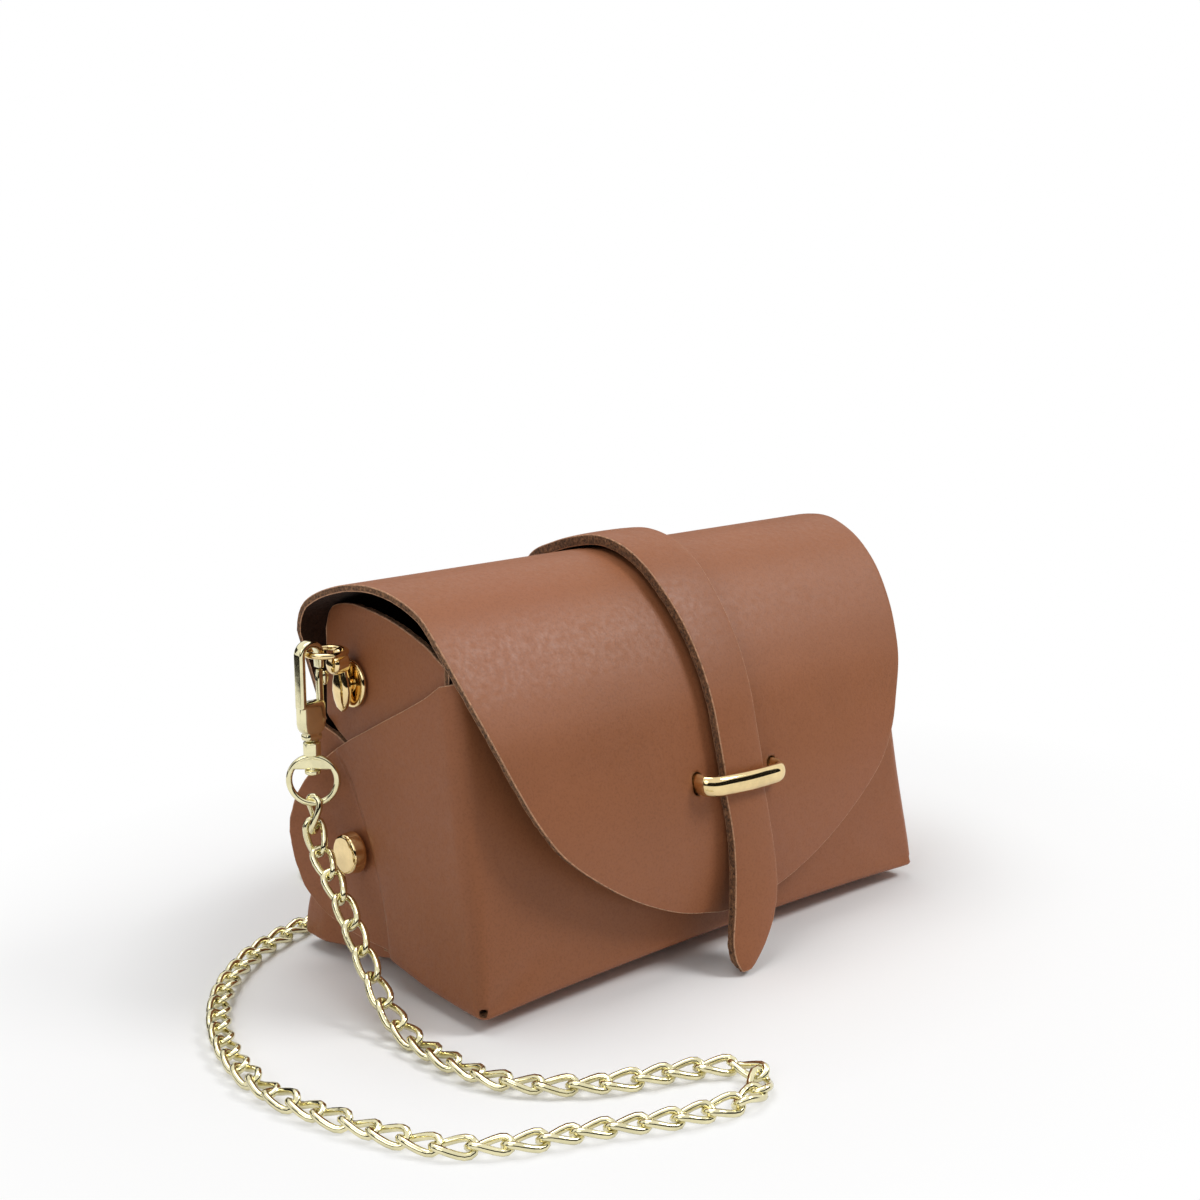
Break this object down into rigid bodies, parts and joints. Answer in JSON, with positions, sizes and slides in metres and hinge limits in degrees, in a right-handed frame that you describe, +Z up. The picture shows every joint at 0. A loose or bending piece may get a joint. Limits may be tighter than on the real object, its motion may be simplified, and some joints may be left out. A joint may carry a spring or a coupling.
{
  "type": "leather handbag",
  "caption": "Small boxy leather crossbody bag with a curved flap, a strap closed through a metal loop, side studs, snap hooks and a chain.",
  "frame": {"origin": "on the floor, at the centre of the flat part of the bottom panel that the bag stands on", "axes": "+Z up, the bag's front looks along -Y, its width runs along X"},
  "size_m": [0.2789, 0.2209, 0.1203],
  "materials": {
    "tan_leather": "smooth, satin, with fibrous raw edges",
    "warm_gold": "polished",
    "pale_gold": "polished",
    "spring_steel": "bright drawn wire"
  },
  "bodies": {
    "root": {"front_panel": "tan_leather", "back_panel": "tan_leather", "bottom_panel": "tan_leather", "strap_loop": "warm_gold", "loop_screw_left": "warm_gold", "loop_screw_right": "warm_gold", "side_rivet_cap_left": "warm_gold", "side_rivet_cap_right": "warm_gold", "side_rivet_back_left": "warm_gold", "side_rivet_back_right": "warm_gold", "strap_back": "tan_leather", "strap_rivet_cap": "warm_gold", "strap_rivet_back": "warm_gold", "stud_left": "warm_gold", "stud_right": "warm_gold", "stud_screw_left": "warm_gold", "stud_screw_right": "warm_gold", "chain": "pale_gold"},
    "flap": {"flap": "tan_leather"},
    "strap": {"strap": "tan_leather"},
    "hook_left": {"ring_stud_left": "warm_gold", "hook_body_left": "pale_gold", "gate_pin_left": "pale_gold", "gate_spring_left": "spring_steel"},
    "hook_right": {"ring_stud_right": "warm_gold", "hook_body_right": "pale_gold", "gate_pin_right": "pale_gold", "gate_spring_right": "spring_steel"},
    "gate_left": {"gate_left": "pale_gold"},
    "gate_right": {"gate_right": "pale_gold"},
    "swivel_left": {"swivel_ring_left": "pale_gold", "chain_end_link_left": "pale_gold"},
    "swivel_right": {"swivel_ring_right": "pale_gold", "chain_end_link_right": "pale_gold"}
  },
  "joints": [
    {"name": "flap_open", "type": "hinge", "parent": "root", "child": "flap", "pos_m": [0, 0.0366, 0.0983], "axis": [-1, 0, 0], "range_deg": [0, 170]},
    {"name": "strap_draw", "type": "slide", "parent": "flap", "child": "strap", "axis": [0, 0.2, 0.9798], "range_m": [0, 0.056], "deforming": ["strap"]},
    {"name": "stud_turn_left", "type": "hinge", "parent": "root", "child": "hook_left", "pos_m": [-0.08613, 0.02, 0.084], "axis": [-0.9995, 0, 0.0306], "range_deg": [-20, 20]},
    {"name": "stud_turn_right", "type": "hinge", "parent": "root", "child": "hook_right", "pos_m": [0.08613, 0.02, 0.084], "axis": [0.9995, 0, 0.0306], "range_deg": [-20, 20]},
    {"name": "gate_turn_left", "type": "hinge", "parent": "hook_left", "child": "gate_left", "pos_m": [-0.09743, 0.02, 0.0757], "axis": [0, -1, 0], "range_deg": [0, 14], "stiffness_Nm_per_rad": 0.012, "springref_deg": -17.19, "deforming": ["gate_spring_left"]},
    {"name": "gate_turn_right", "type": "hinge", "parent": "hook_right", "child": "gate_right", "pos_m": [0.09743, 0.02, 0.0757], "axis": [0, 1, 0], "range_deg": [0, 14], "stiffness_Nm_per_rad": 0.012, "springref_deg": -17.19, "deforming": ["gate_spring_right"]},
    {"name": "swivel_turn_left", "type": "hinge", "parent": "hook_left", "child": "swivel_left", "pos_m": [-0.10053, 0.02, 0.0702], "axis": [0, 0, 1], "continuous": true},
    {"name": "swivel_turn_right", "type": "hinge", "parent": "hook_right", "child": "swivel_right", "pos_m": [0.10053, 0.02, 0.0702], "axis": [0, 0, 1], "continuous": true}
  ]
}
